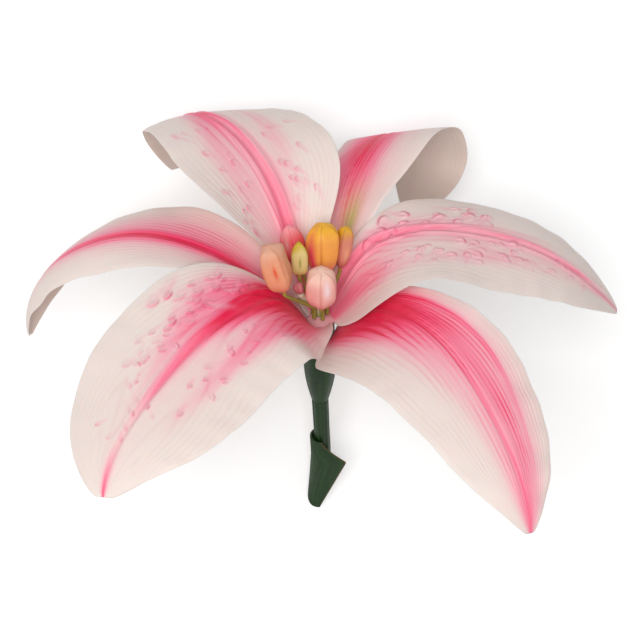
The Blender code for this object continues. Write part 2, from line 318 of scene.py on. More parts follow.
@dataclass(frozen=True)
class TepalFinish:
    """The waxy skin of a petal or sepal: cream that blushes to crimson along its veins."""

    name: str
    streaks: float = 0.26  # how far the blush breaks up into lengthwise streaks
    veins: float = 0.5  # how dark the veins run through the blush
    cream: Colour = paint(241, 228, 221)
    warm_cream: Colour = paint(244, 214, 211)
    pale_pink: Colour = paint(249, 186, 196)
    rose: Colour = paint(253, 136, 164)
    deep_rose: Colour = paint(250, 76, 120)
    crimson: Colour = paint(236, 18, 76)
    flush: Colour = paint(247, 170, 190)
    fleck: Colour = paint(230, 78, 124)
    under_pale: Colour = paint(224, 206, 196)
    under_rib: Colour = paint(176, 166, 126)
    throat: Colour = paint(186, 178, 92)

    def build(self) -> bpy.types.Material:
        """Makes the material.

        Returns:
            A material that reads the blush, spot, glow, under, throat and keel numbers of a blade, and the
            vein number that deepens the blush along the veins and puts painted shade in the hollows between
            them.
        """
        g = Graph(self.name)
        streak = g.noise(g.blade_place((46, 2.2, 0)), 1.0, detail=5, roughness=0.6)
        fine = g.noise(g.blade_place((170, 26, 0)), 1.0, detail=3)
        cloud = g.noise(g.solid_place(), 70, detail=4)
        blush = g.reading("blush")
        # The vein number: real vein colour in the blush, and the mask of the painted shade further down.
        vein_and_furrow_shade = g.reading("vein_and_furrow_shade")
        root = g.sum("SQRT", blush)
        patchy = g.sum("MULTIPLY_ADD", g.spread(streak, -self.streaks, self.streaks), root, blush)
        patchy = g.sum("MULTIPLY_ADD", g.spread(cloud, -0.14, 0.14), root, patchy)
        patchy = g.sum("MULTIPLY_ADD", g.sum("MULTIPLY", vein_and_furrow_shade, blush), self.veins, patchy, clamp=True)
        top = g.ramp(
            patchy,
            (
                (0.0, self.cream),
                (0.12, self.warm_cream),
                (0.32, self.pale_pink),
                (0.54, self.rose),
                (0.80, self.deep_rose),
                (1.0, self.crimson),
            ),
        )
        top = g.mix(g.sum("MULTIPLY", g.reading("glow"), 0.62), top, self.flush)
        flecked = g.sum("MULTIPLY", g.reading("spot"), g.spread(cloud, 0.45, 1.15), clamp=True)
        top = g.mix(flecked, top, self.fleck)
        top = g.mix(g.reading("throat"), top, self.throat)
        under = g.mix(g.sum("MULTIPLY", blush, 0.2), self.under_pale, self.pale_pink)
        under = g.mix(g.reading("keel"), under, self.under_rib)
        colour = g.mix(g.reading("under"), top, under)
        # Painted shade: the hollows between the veins are darkened towards a greyish pink.
        colour = g.mix(g.sum("MULTIPLY", vein_and_furrow_shade, 0.2), colour, paint(222, 200, 194), "MULTIPLY")
        colour = g.mix(0.5, colour, g.mix(fine, paint(240, 232, 229), paint(255, 255, 255)), "MULTIPLY")
        warmed = g.sum("MULTIPLY", g.spread(cloud, -0.3, 0.5), 0.3, clamp=True)
        colour = g.mix(warmed, colour, self.warm_cream)
        g.bump(g.sum("ADD", fine, g.sum("MULTIPLY", cloud, 0.6)), 0.12 * MM, 0.5)
        return g.finish(
            colour,
            g.spread(cloud, 0.42, 0.58),
            subsurface_weight=0.1,
            subsurface_scale=0.0014,
            sheen_weight=0.06,
            sheen_roughness=0.4,
            specular_ior_level=0.35,
        )


@dataclass(frozen=True)
class LobeFinish:
    """The skin of one anther: a body colour that turns to others at its crown, its fold and one spot. On the
    rose lobe the spot, and on the crimson lobe the crown, is a painted highlight.
    """

    name: str
    body: Colour
    crown: Colour
    edge: Colour
    spot: Colour
    foot: Colour

    def build(self) -> bpy.types.Material:
        """Makes the material.

        Returns:
            A material that reads the crown, edge, spot and foot numbers of a lobe.
        """
        g = Graph(self.name)
        grain = g.noise(g.solid_place(), 420, detail=4, roughness=0.6)
        cloud = g.noise(g.solid_place(), 130, detail=3)
        uneven = g.spread(cloud, -0.45, 0.45)

        def share(name: str) -> Socket:
            """One of the lobe's numbers with a cloudy border."""
            value = g.reading(name)
            return g.sum("MULTIPLY_ADD", uneven, g.sum("SQRT", value), value, clamp=True)

        colour = g.mix(share("crown"), self.body, self.crown)
        colour = g.mix(share("foot"), colour, self.foot)
        colour = g.mix(share("edge"), colour, self.edge)
        colour = g.mix(share("spot"), colour, self.spot)
        colour = g.mix(0.6, colour, g.mix(grain, paint(226, 214, 210), paint(255, 255, 255)), "MULTIPLY")
        g.bump(g.sum("ADD", grain, cloud), 0.12 * MM, 0.5)
        return g.finish(
            colour,
            g.spread(cloud, 0.42, 0.6),
            subsurface_weight=0.12,
            subsurface_scale=0.0012,
            specular_ior_level=0.35,
        )


@dataclass(frozen=True)
class GreenFinish:
    """The skin of the green parts: two greens in lengthwise streaks, with a third at the edges."""

    name: str
    dark: Colour
    light: Colour
    edge: Colour
    roughness: float = 0.5

    def build(self) -> bpy.types.Material:
        """Makes the material.

        Returns:
            A material that streaks its two greens along the blade map and reads the edge number of a green
            piece.
        """
        g = Graph(self.name)
        streak = g.noise(g.blade_place((18, 1.4, 0)), 1.0, detail=4)
        grain = g.noise(g.solid_place(), 520, detail=3)
        colour = g.ramp(streak, ((0.3, self.dark), (0.75, self.light)))
        colour = g.mix(g.reading("edge"), colour, self.edge)
        colour = g.mix(0.7, colour, g.mix(grain, paint(205, 205, 200), paint(255, 255, 255)), "MULTIPLY")
        g.bump(g.sum("ADD", grain, streak), 0.15 * MM, 0.6)
        rough = g.spread(grain, self.roughness - 0.08, self.roughness + 0.1)
        return g.finish(colour, rough, specular_ior_level=0.28)


@dataclass
class Skin:
    """A closed surface: its points in the bloom's axes, its faces, and what each point carries."""

    points: np.ndarray
    faces: list[list[int]]
    place: np.ndarray  # across and along, from 0 to 1, for the finish
    carried: dict[str, np.ndarray] = field(default_factory=dict)

    def mesh(self, name: str, axes: BloomAxes) -> bpy.types.Mesh:
        """Makes the mesh, leaned over into the frame and shaded smooth.

        Args:
            name: the mesh's name.
            axes: the bloom's axes.

        Returns:
            The mesh, with its blade map and one number a point for each thing carried.
        """
        mesh = bpy.data.meshes.new(name)
        mesh.from_pydata(axes.world(self.points).tolist(), [], self.faces)
        corners = np.empty(len(mesh.loops), np.int32)
        mesh.loops.foreach_get("vertex_index", corners)
        blade = mesh.uv_layers.new(name="blade")
        blade.data.foreach_set("uv", self.place[corners].astype(np.float32).ravel())
        for key, values in self.carried.items():
            attribute = mesh.attributes.new(key, "FLOAT", "POINT")
            attribute.data.foreach_set("value", values.astype(np.float32).ravel())
        mesh.shade_smooth()
        return mesh


def ring_faces(rings: int, around: int) -> list[list[int]]:
    """Faces that join rings of points into a tube, each face turned outwards.

    Args:
        rings: how many rings.
        around: how many points each holds.

    Returns:
        The faces, as lists of point numbers.
    """
    ring, k = np.meshgrid(np.arange(rings - 1), np.arange(around), indexing="ij")
    following = (k + 1) % around
    near, far = ring * around, (ring + 1) * around
    corners = (near + k, far + k, far + following, near + following)
    return np.stack(corners, -1).reshape(-1, 4).tolist()


def blade_skin(
    middle: Callable[[np.ndarray, np.ndarray], np.ndarray],
    rows: int,
    columns: int,
    thickness: Callable[[np.ndarray, np.ndarray], np.ndarray],
    relief: Callable[[np.ndarray, np.ndarray], np.ndarray],
    keel: Callable[[np.ndarray, np.ndarray], np.ndarray],
    carried: Callable[[np.ndarray, np.ndarray], dict[str, np.ndarray]],
) -> Skin:
    """Builds a closed blade with rounded margins around a middle surface.

    Args:
        middle: gives the middle surface at (t, side).
        rows: steps along the blade.
        columns: steps across it.
        thickness: gives the full thickness away from the margins, in metres.
        relief: gives what the upper face adds, in metres.
        keel: gives what the lower face adds, in metres.
        carried: gives the numbers that each point carries.

    Returns:
        The closed skin. Its points also carry "under", which is 1 on the lower face.
    """
    t = np.linspace(0, 1, rows)
    rounded = 1 - np.array([0, 0.004, 0.014, 0.032, 0.06])
    across = np.concatenate([-rounded, np.linspace(-0.91, 0.91, columns - 9), rounded[::-1]])
    t_grid, side_grid = np.meshgrid(t, across, indexing="ij")
    flat_shape = t_grid.shape
    points = middle(t_grid.ravel(), side_grid.ravel()).reshape(*flat_shape, 3)
    normal = np.cross(np.gradient(points, axis=0), np.gradient(points, axis=1))
    normal /= np.linalg.norm(normal, axis=2, keepdims=True)
    rim = np.sqrt(1 - ease(np.abs(side_grid), 0.82, 1.0) ** 2) * np.sqrt(np.clip(1 - t_grid**60, 0.02, 1))
    half = thickness(t_grid, side_grid) / 2 * rim
    upper = points + normal * (half + relief(t_grid, side_grid) * rim)[..., None]
    lower = points - normal * (half + keel(t_grid, side_grid) * rim)[..., None]
    lower, inner = lower[:, ::-1], slice(1, -1)
    rings = np.concatenate([upper, lower[:, inner]], 1)
    around = rings.shape[1]
    sides = np.concatenate([side_grid, side_grid[:, ::-1][:, inner]], 1)
    alongs = np.repeat(t[:, None], around, 1)
    under = np.concatenate([np.zeros(flat_shape), np.ones((rows, len(across) - 2))], 1)
    faces = ring_faces(rows, around)
    for start, flip in ((0, False), ((rows - 1) * around, True)):
        for k in range(len(across) - 1):
            near, far = start + k, start + k + 1
            last = start + (around - k - 1) % around if k < len(across) - 2 else far
            face = list(dict.fromkeys([near, far, last, start + (around - k) % around]))
            faces.append(face[::-1] if flip else face)
    numbers = {key: value.ravel() for key, value in carried(alongs, sides).items()}
    numbers["under"] = under.ravel()
    place = np.stack([(sides.ravel() + 1) / 2, alongs.ravel()], 1)
    return Skin(rings.reshape(-1, 3), faces, place, numbers)


def swept_skin(
    route: np.ndarray,
    radius: Callable[[np.ndarray, np.ndarray], np.ndarray],
    rings: int,
    around: int,
    carried: Callable[[np.ndarray, np.ndarray], dict[str, np.ndarray]],
) -> Skin:
    """Builds a closed round piece along a route.

    Args:
        route: the points of its middle line, in metres.
        radius: gives the radius at (t, angle), in metres.
        rings: steps along it.
        around: steps round it.
        carried: gives the numbers that each point carries, from (t, angle).

    Returns:
        The closed skin.
    """
    t = np.linspace(0, 1, rings)
    line = np.stack([along(tuple(route[:, axis]), t) for axis in range(3)], 1)
    forward = np.gradient(line, axis=0)
    forward /= np.linalg.norm(forward, axis=1, keepdims=True)
    side = np.cross(forward, np.array([0.0, 1.0, 0.001]))
    side /= np.linalg.norm(side, axis=1, keepdims=True)
    other = np.cross(forward, side)
    angle = np.linspace(0, 2 * math.pi, around, endpoint=False)
    t_grid, angle_grid = np.meshgrid(t, angle, indexing="ij")
    reach = radius(t_grid, angle_grid)[..., None]
    # The angle runs clockwise seen from the route's end, which turns the faces outwards.
    out = side[:, None] * np.cos(angle_grid)[..., None] - other[:, None] * np.sin(angle_grid)[..., None]
    points = (line[:, None] + out * reach).reshape(-1, 3)
    faces = ring_faces(rings, around)
    first, last = len(points), len(points) + 1
    points = np.concatenate([points, line[:1], line[-1:]])
    for k in range(around):
        following = (k + 1) % around
        faces.append([first, k, following])
        faces.append([last, (rings - 1) * around + following, (rings - 1) * around + k])
    place = np.stack([angle_grid.ravel() / (2 * math.pi), t_grid.ravel()], 1)
    place = np.concatenate([place, [[0.5, 0], [0.5, 1]]])
    numbers = {}
    for key, value in carried(t_grid, angle_grid).items():
        numbers[key] = np.concatenate([value.ravel(), [value[0].mean(), value[-1].mean()]])
    return Skin(points, faces, place, numbers)


def add_piece(
    name: str, skin: Skin, finish: bpy.types.Material, node: str, axes: BloomAxes
) -> None:
    """Puts a finished piece in the scene in place of a solid.

    Args:
        name: the piece's name.
        skin: its surface.
        finish: its material.
        node: the solid that it stands for.
        axes: the bloom's axes.
    """
    mesh = skin.mesh(name, axes)
    mesh.materials.append(finish)
    piece = bpy.data.objects.new(name, mesh)
    bpy.context.scene.collection.objects.link(piece)
    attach(piece, BODY)
    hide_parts(node)
    LOG.info("%s: %d faces for %s", name, len(mesh.polygons), node)


class Whorl(Enum):
    """Which ring of the flower a tepal belongs to, by its material slot."""

    PETAL = "petal"
    SEPAL = "sepal"


@dataclass(frozen=True)
class Band:
    """A band of blush down a blade. Each row of numbers is spaced evenly from the base to the tip."""

    middle: tuple[float, ...]  # where across the blade it runs, from -1 to 1
    width: tuple[float, ...]  # how far it spreads, on the same scale
    strength: tuple[float, ...]  # how deep its colour is

    def blush(self, t: np.ndarray, side: np.ndarray) -> np.ndarray:
        """How deep the colour is at each place."""
        return along(self.strength, t) * hump(side - along(self.middle, t), along(self.width, t))


@dataclass(frozen=True)
class Papillae:
    """A patch of the small hooked curls that stand on a petal."""

    seed: int
    count: int
    reach: tuple[float, float]  # where along the blade they stand
    spread: tuple[float, float]  # where across it
    size: tuple[float, float] = (0.9, 1.6)  # radius of a curl, millimetres
    height: float = 0.75  # millimetres
    depth: float = 1.0  # how deep their colour is


@dataclass(frozen=True)
class Tepal:
    """One petal or sepal. Each row of numbers is spaced evenly from the base to the tip."""

    node: str
    whorl: Whorl
    seed: int
    azimuth: float
    length: float  # millimetres along the midrib
    slopes: tuple[float, ...]  # climb of the midrib, degrees
    turns: tuple[float, ...]  # sideways turn of the midrib, degrees
    left: tuple[float, ...]  # half-width on the anticlockwise side, millimetres
    right: tuple[float, ...]  # half-width on the clockwise side, millimetres
    cups: tuple[float, ...]  # how far the blade has bent upwards at its margin, degrees
    rolls: tuple[float, ...]  # tilt of the blade about its midrib, degrees
    vein: tuple[float, ...]  # where across the blade its main vein runs, from -1 to 1
    bands: tuple[Band, ...]
    papillae: tuple[Papillae, ...] = ()
    ribs: int = 13  # raised veins on each side of the main vein
    rib_height: float = 0.07  # millimetres
    fan: float = 0.0  # how far the ribs spread towards the margins on their way up
    ruffle: float = 0.6  # how far the margin waves, millimetres
    gold: float = 0.0  # how strongly the throat turns yellow-green
    claw: float = 0.3  # how wide the very foot is, as a share of the blade above it
    lap: float = 0.0  # how far the foot's left half also bends, to lap round the receptacle, degrees

    MIDRIB_STEPS = 400
    TIP_ROUNDNESS = 10
    TIP_STOP = 0.995
    THICKNESS = 0.9
    SHOULDER = 0.1  # how far up the blade its foot reaches its full width
    PETAL_GRID = (320, 136)  # steps along and across
    SEPAL_GRID = (280, 112)

    def seat(self) -> tuple[float, float]:
        """The radius and height where it leaves the receptacle, in millimetres."""
        return (4.2, 12.0) if self.whorl is Whorl.PETAL else (5.4, 8.0)

    def midrib(self) -> tuple[np.ndarray, np.ndarray, np.ndarray, np.ndarray]:
        """Walks the midrib in equal steps.

        Returns:
            Places along it, points in metres, directions, and headings in radians.
        """
        t = np.linspace(0, 1, self.MIDRIB_STEPS + 1)
        slope = np.radians(along(self.slopes, t))
        heading = np.radians(self.azimuth + along(self.turns, t))
        level = np.cos(slope)
        direction = np.stack([level * np.cos(heading), level * np.sin(heading), np.sin(slope)], 1)
        walked = np.cumsum((direction[1:] + direction[:-1]) / 2 * self.length * MM / self.MIDRIB_STEPS, 0)
        radius, height = self.seat()
        start = np.array([radius * math.cos(heading[0]), radius * math.sin(heading[0]), height]) * MM
        return t, start + np.concatenate([np.zeros((1, 3)), walked]), direction, heading

    def half_width(self, t: np.ndarray, side: np.ndarray) -> np.ndarray:
        """How wide the blade is on the side asked for, in metres."""
        width = np.where(side > 0, along(self.left, t), along(self.right, t)) * MM
        foot = np.sqrt(1 - (1 - np.minimum(t / self.SHOULDER, 1)) ** 2)
        return width * np.sqrt(1 - t**self.TIP_ROUNDNESS) * (self.claw + (1 - self.claw) * foot)

    def middle(self, t: np.ndarray, side: np.ndarray) -> np.ndarray:
        """The middle surface of the blade.

        Args:
            t: places along it, from 0 to 1.
            side: places across it, from -1 to 1.

        Returns:
            Points in the bloom's axes.
        """
        t = t * self.TIP_STOP
        steps, points, directions, headings = self.midrib()
        point, direction = (
            np.stack([np.interp(t, steps, row) for row in rows.T], 1) for rows in (points, directions)
        )
        heading = np.interp(t, steps, headings)
        across = np.stack([-np.sin(heading), np.cos(heading), np.zeros_like(heading)], 1)
        normal = np.cross(direction, across)
        width = self.half_width(t, side)
        lap = self.lap * (1 - np.minimum(t / self.SHOULDER, 1)) ** 2
        bend = np.radians(along(self.cups, t) + np.where(side > 0, lap, 0))
        bend = np.where(np.abs(bend) < 0.0001, 0.0001, bend)
        flat, lift = width * np.sin(bend * side) / bend, width * (1 - np.cos(bend * side)) / bend
        roll = np.radians(along(self.rolls, t))
        outward = flat * np.cos(roll) - lift * np.sin(roll)
        upward = flat * np.sin(roll) + lift * np.cos(roll)
        edge = ease(np.abs(side), 0.45, 1.0) * ease(t, 0.22, 0.5) * (1 - ease(t, 0.9, 1.0))
        upward = upward + self.ruffle * MM * edge * wander(self.seed, t * 1.6, np.sign(side) * 0.5)
        return point + across * outward[:, None] + normal * upward[:, None]

    def across(self, t: np.ndarray, side: np.ndarray) -> np.ndarray:
        """Where a place lies between the main vein, at 0, and the margins, at -1 and 1."""
        off = side - along(self.vein, t)
        return np.clip(off / (1 - np.sign(off) * along(self.vein, t)), -1, 1)

    def off_vein(self, t: np.ndarray, side: np.ndarray) -> np.ndarray:
        """How far a place lies from the main vein, in millimetres."""
        return (side - along(self.vein, t)) * self.half_width(t * self.TIP_STOP, side) / MM

    def rib_wave(self, t: np.ndarray, side: np.ndarray) -> np.ndarray:
        """The lengthwise veins, as numbers from 0 in the hollow between two crests to 1 on a crest."""
        out = np.abs(self.across(t, side))
        fanned = out - self.fan * np.maximum(t - 0.15, 0) * ease(out, 0.05, 0.5)
        phase = self.ribs * fanned + 0.35 * wander(self.seed + 1, t * 0.5, side * 0.7)
        return 0.5 + 0.5 * np.cos(2 * math.pi * phase)

    def rib_share(self, t: np.ndarray, side: np.ndarray) -> np.ndarray:
        """How strongly the veins stand out at each place."""
        uneven = np.clip(0.55 + 0.6 * wander(self.seed + 2, t * 0.8, side * 1.6), 0.05, 1.2)
        lengthwise = uneven * ease(t, 0.03, 0.2) * (1 - 0.5 * ease(t, 0.8, 1.0))
        return lengthwise * (1 - ease(np.abs(side), 0.88, 0.98))

    def curls(self, t: np.ndarray, side: np.ndarray) -> tuple[np.ndarray, np.ndarray, np.ndarray]:
        """The papillae: little arcs that open towards the base, pink inside and darker at the rim.

        Args:
            t: places along the blade.
            side: places across it.

        Returns:
            Their height in metres, how strongly each place is rimmed and how strongly it is flushed.
        """
        height, rim, flush = np.zeros(t.shape), np.zeros(t.shape), np.zeros(t.shape)
        x, y = side * self.half_width(t * self.TIP_STOP, side) / MM, t * self.length
        for patch in self.papillae:
            draw = np.random.default_rng(patch.seed)
            for _ in range(patch.count):
                at_t = np.array([draw.uniform(*patch.reach)])
                at_side = np.array([draw.uniform(*patch.spread)])
                size, turn, tall = draw.uniform(*patch.size), draw.normal(0.3, 0.6), draw.uniform(0.4, 1)
                beside = x - float((at_side * self.half_width(at_t, at_side) / MM)[0])
                ahead = y - float(at_t[0]) * self.length
                forward = (ahead * math.cos(turn) + beside * math.sin(turn)) / 1.5
                sideways = beside * math.cos(turn) - ahead * math.sin(turn)
                reach = np.hypot(forward, sideways)
                open_end = ease(forward / size, -0.7, 0.3)
                crest = hump(reach - size * 0.72, 0.34 * size) * open_end
                curl = ease(sideways / size, -0.9, 0.7)
                height = np.maximum(height, patch.height * tall * crest * (0.5 + 0.5 * curl))
                lip = hump(reach - size, 0.22 * size) * open_end * curl
                rim = np.maximum(rim, lip * tall * 1.25 * patch.depth)
                tail = hump(sideways, size * 0.7) * hump(forward + size, size * 1.6)
                flush = np.maximum(flush, np.maximum(tail, hump(reach, size)) * tall * patch.depth)
        return height * MM, rim, flush

    def relief(self, t: np.ndarray, side: np.ndarray) -> np.ndarray:
        """What stands on the upper face: veins, the grooved main vein and the papillae.

        Args:
            t: places along the blade.
            side: places across it.

        Returns:
            Heights in metres.
        """
        veins = (self.rib_wave(t, side) ** 0.8 - 0.6) * self.rib_height * self.rib_share(t, side)
        off = self.off_vein(t, side)
        fade = ease(t, 0.04, 0.2) * (1 - ease(t, 0.8, 0.99))
        depth = 0.62 if self.whorl is Whorl.PETAL else 0.2
        spacing = 2.6 - 1.2 * t
        groove = (0.8 * hump(np.abs(off) - spacing, 0.8) - 0.8 * hump(off, 1.1)) * depth * fade
        return (veins + groove) * MM + self.curls(t, side)[0]

    def keel(self, t: np.ndarray, side: np.ndarray) -> np.ndarray:
        """What stands on the lower face: the midrib's keel and faint veins, in metres."""
        keel = 1.1 * hump(self.off_vein(t, side), 2.0) * (1 - ease(t, 0.3, 1.0)) * ease(t, 0.02, 0.1)
        veins = 0.6 * self.rib_height * (self.rib_wave(t, side) - 0.5) * self.rib_share(t, side)
        return (keel + veins) * MM

    def thickness(self, t: np.ndarray, side: np.ndarray) -> np.ndarray:
        """The blade's thickness, which thins towards its margins, in metres."""
        return self.THICKNESS * MM * (1 - 0.35 * np.abs(side) ** 2)

    def carried(self, t: np.ndarray, side: np.ndarray) -> dict[str, np.ndarray]:
        """What the finish reads at each point.

        Args:
            t: places along the blade.
            side: places across it.

        Returns:
            The blush, spot, glow, keel and throat numbers, and the vein number that also places painted
            shade in the hollows between the veins.
        """
        _, rim, flush = self.curls(t, side)
        return {
            "blush": np.clip(sum(band.blush(t, side) for band in self.bands), 0, 1),
            "spot": np.clip(rim, 0, 1),
            "glow": np.clip(flush, 0, 1),
            # Strongest in the hollows between the veins: it deepens the blush there and masks the painted
            # shade in those hollows.
            "vein_and_furrow_shade": (1 - self.rib_wave(t, side)) ** 5 * self.rib_share(t, side),
            "keel": hump(self.off_vein(t, side), 2.6) * (1 - ease(t, 0.35, 0.95)),
            "throat": self.gold * hump(t - 0.26, 0.09) * hump(side - along(self.vein, t) + 0.25, 0.3),
        }

    def build(self, axes: BloomAxes, finishes: dict[Whorl, bpy.types.Material]) -> None:
        """Makes the blade and puts it in the scene.

        Args:
            axes: the bloom's axes.
            finishes: the two whorls' materials.
        """
        petal = self.whorl is Whorl.PETAL
        rows, columns = self.PETAL_GRID if petal else self.SEPAL_GRID
        skin = blade_skin(self.middle, rows, columns, self.thickness, self.relief, self.keel, self.carried)
        add_piece(f"{self.node}_blade", skin, finishes[self.whorl], self.node, axes)


